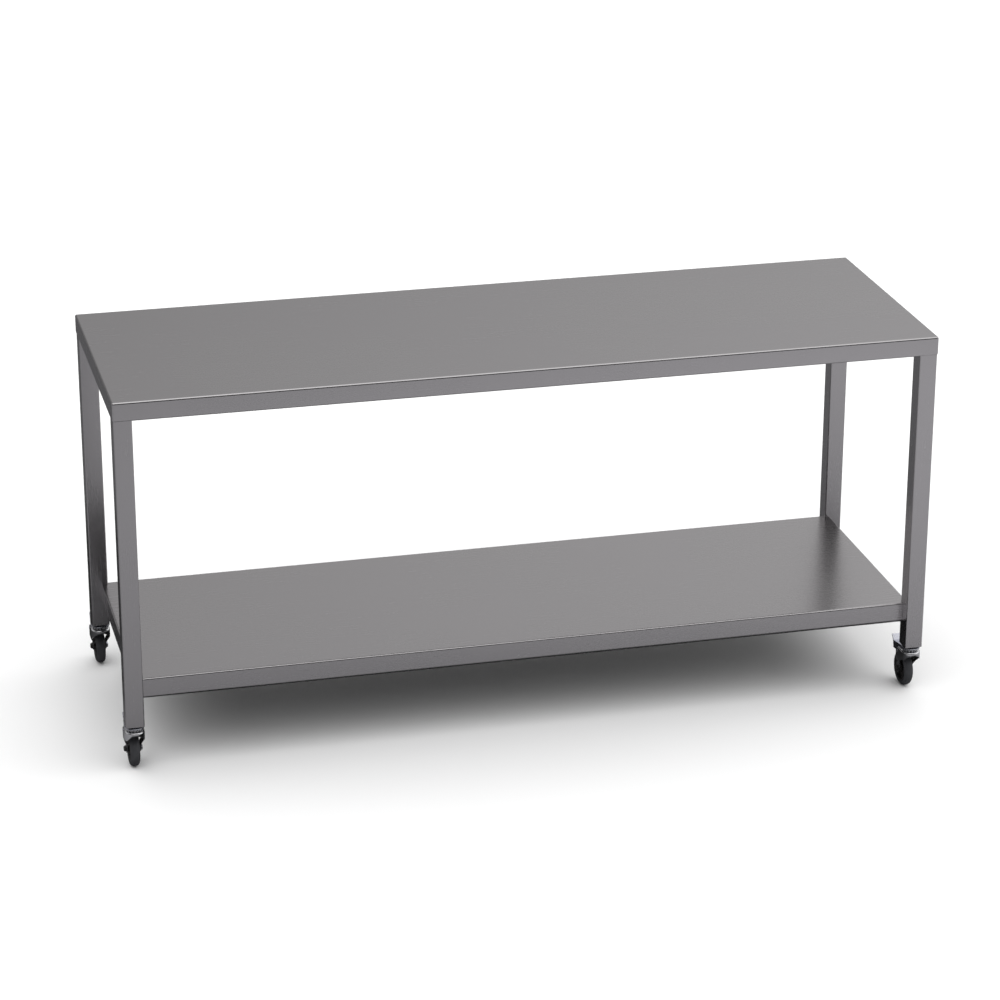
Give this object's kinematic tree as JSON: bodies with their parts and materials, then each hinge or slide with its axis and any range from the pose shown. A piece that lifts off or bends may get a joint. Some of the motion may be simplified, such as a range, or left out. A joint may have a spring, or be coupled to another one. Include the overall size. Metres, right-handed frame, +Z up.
{
  "type": "work table",
  "caption": "Mobile stainless steel kitchen work table with a folded-edge top, square legs, a notched undershelf and swivel casters with wheel brakes.",
  "frame": {"origin": "on the floor, under the middle of the whole object's box with the casters trailing to the rear", "axes": "+X along the table's length, +Y to the rear, +Z up"},
  "size_m": [1.8026, 0.657, 0.847],
  "materials": {
    "stainless": "satin brushed stainless sheet and tube",
    "steel": "plain steel, partly hidden",
    "chrome": "bright plated pressed steel",
    "zinc": "bright zinc plated steel, slightly blue",
    "rubber": "smooth dark grey rubber tread",
    "black_plastic": "moulded black plastic",
    "grey_plastic": "moulded dark grey plastic"
  },
  "bodies": {
    "table": {"worktop": "stainless", "undershelf": "stainless", "top_channel_front": "stainless", "top_channel_rear": "stainless", "shelf_channel": "stainless", "corner_gusset_front_left": "steel", "corner_gusset_front_right": "steel", "corner_gusset_rear_left": "steel", "corner_gusset_rear_right": "steel", "leg_front_left": "stainless", "leg_front_right": "stainless", "leg_rear_left": "stainless", "leg_rear_right": "stainless", "leg_insert_front_left": "grey_plastic", "leg_insert_front_right": "grey_plastic", "leg_insert_rear_left": "grey_plastic", "leg_insert_rear_right": "grey_plastic", "caster_stem_front_left": "zinc", "caster_stem_front_right": "zinc", "caster_stem_rear_left": "zinc", "caster_stem_rear_right": "zinc"},
    "caster_front_left": {"ball_race_front_left": "steel", "fork_front_left": "chrome", "axle_bolt_front_left": "zinc", "axle_cap_front_left": "black_plastic", "brake_pin_front_left": "zinc"},
    "wheel_front_left": {"wheel_hub_front_left": "black_plastic", "tyre_front_left": "rubber"},
    "brake_front_left": {"brake_pedal_front_left": "zinc", "brake_shoe_front_left": "grey_plastic"},
    "caster_front_right": {"ball_race_front_right": "steel", "fork_front_right": "chrome", "axle_bolt_front_right": "zinc", "axle_cap_front_right": "black_plastic", "brake_pin_front_right": "zinc"},
    "wheel_front_right": {"wheel_hub_front_right": "black_plastic", "tyre_front_right": "rubber"},
    "brake_front_right": {"brake_pedal_front_right": "zinc", "brake_shoe_front_right": "grey_plastic"},
    "caster_rear_left": {"ball_race_rear_left": "steel", "fork_rear_left": "chrome", "axle_bolt_rear_left": "zinc", "axle_cap_rear_left": "black_plastic", "brake_pin_rear_left": "zinc"},
    "wheel_rear_left": {"wheel_hub_rear_left": "black_plastic", "tyre_rear_left": "rubber"},
    "brake_rear_left": {"brake_pedal_rear_left": "zinc", "brake_shoe_rear_left": "grey_plastic"},
    "caster_rear_right": {"ball_race_rear_right": "steel", "fork_rear_right": "chrome", "axle_bolt_rear_right": "zinc", "axle_cap_rear_right": "black_plastic", "brake_pin_rear_right": "zinc"},
    "wheel_rear_right": {"wheel_hub_rear_right": "black_plastic", "tyre_rear_right": "rubber"},
    "brake_rear_right": {"brake_pedal_rear_right": "zinc", "brake_shoe_rear_right": "grey_plastic"}
  },
  "joints": [
    {"name": "swivel_front_left", "type": "hinge", "parent": "table", "child": "caster_front_left", "pos_m": [-0.8785, -0.307, 0.102], "axis": [0, 0, 1], "continuous": true},
    {"name": "spin_front_left", "type": "hinge", "parent": "caster_front_left", "child": "wheel_front_left", "pos_m": [-0.8785, -0.272, 0.03966], "axis": [1, 0, 0], "continuous": true},
    {"name": "brake_front_left", "type": "hinge", "parent": "caster_front_left", "child": "brake_front_left", "pos_m": [-0.8785, -0.281, 0.0885], "axis": [-1, 0, 0], "range_deg": [0, 10]},
    {"name": "swivel_front_right", "type": "hinge", "parent": "table", "child": "caster_front_right", "pos_m": [0.8785, -0.307, 0.102], "axis": [0, 0, 1], "continuous": true},
    {"name": "spin_front_right", "type": "hinge", "parent": "caster_front_right", "child": "wheel_front_right", "pos_m": [0.8785, -0.272, 0.03966], "axis": [1, 0, 0], "continuous": true},
    {"name": "brake_front_right", "type": "hinge", "parent": "caster_front_right", "child": "brake_front_right", "pos_m": [0.8785, -0.281, 0.0885], "axis": [-1, 0, 0], "range_deg": [0, 10]},
    {"name": "swivel_rear_left", "type": "hinge", "parent": "table", "child": "caster_rear_left", "pos_m": [-0.8785, 0.25, 0.102], "axis": [0, 0, 1], "continuous": true},
    {"name": "spin_rear_left", "type": "hinge", "parent": "caster_rear_left", "child": "wheel_rear_left", "pos_m": [-0.8785, 0.285, 0.03966], "axis": [1, 0, 0], "continuous": true},
    {"name": "brake_rear_left", "type": "hinge", "parent": "caster_rear_left", "child": "brake_rear_left", "pos_m": [-0.8785, 0.276, 0.0885], "axis": [-1, 0, 0], "range_deg": [0, 10]},
    {"name": "swivel_rear_right", "type": "hinge", "parent": "table", "child": "caster_rear_right", "pos_m": [0.8785, 0.25, 0.102], "axis": [0, 0, 1], "continuous": true},
    {"name": "spin_rear_right", "type": "hinge", "parent": "caster_rear_right", "child": "wheel_rear_right", "pos_m": [0.8785, 0.285, 0.03966], "axis": [1, 0, 0], "continuous": true},
    {"name": "brake_rear_right", "type": "hinge", "parent": "caster_rear_right", "child": "brake_rear_right", "pos_m": [0.8785, 0.276, 0.0885], "axis": [-1, 0, 0], "range_deg": [0, 10]}
  ]
}
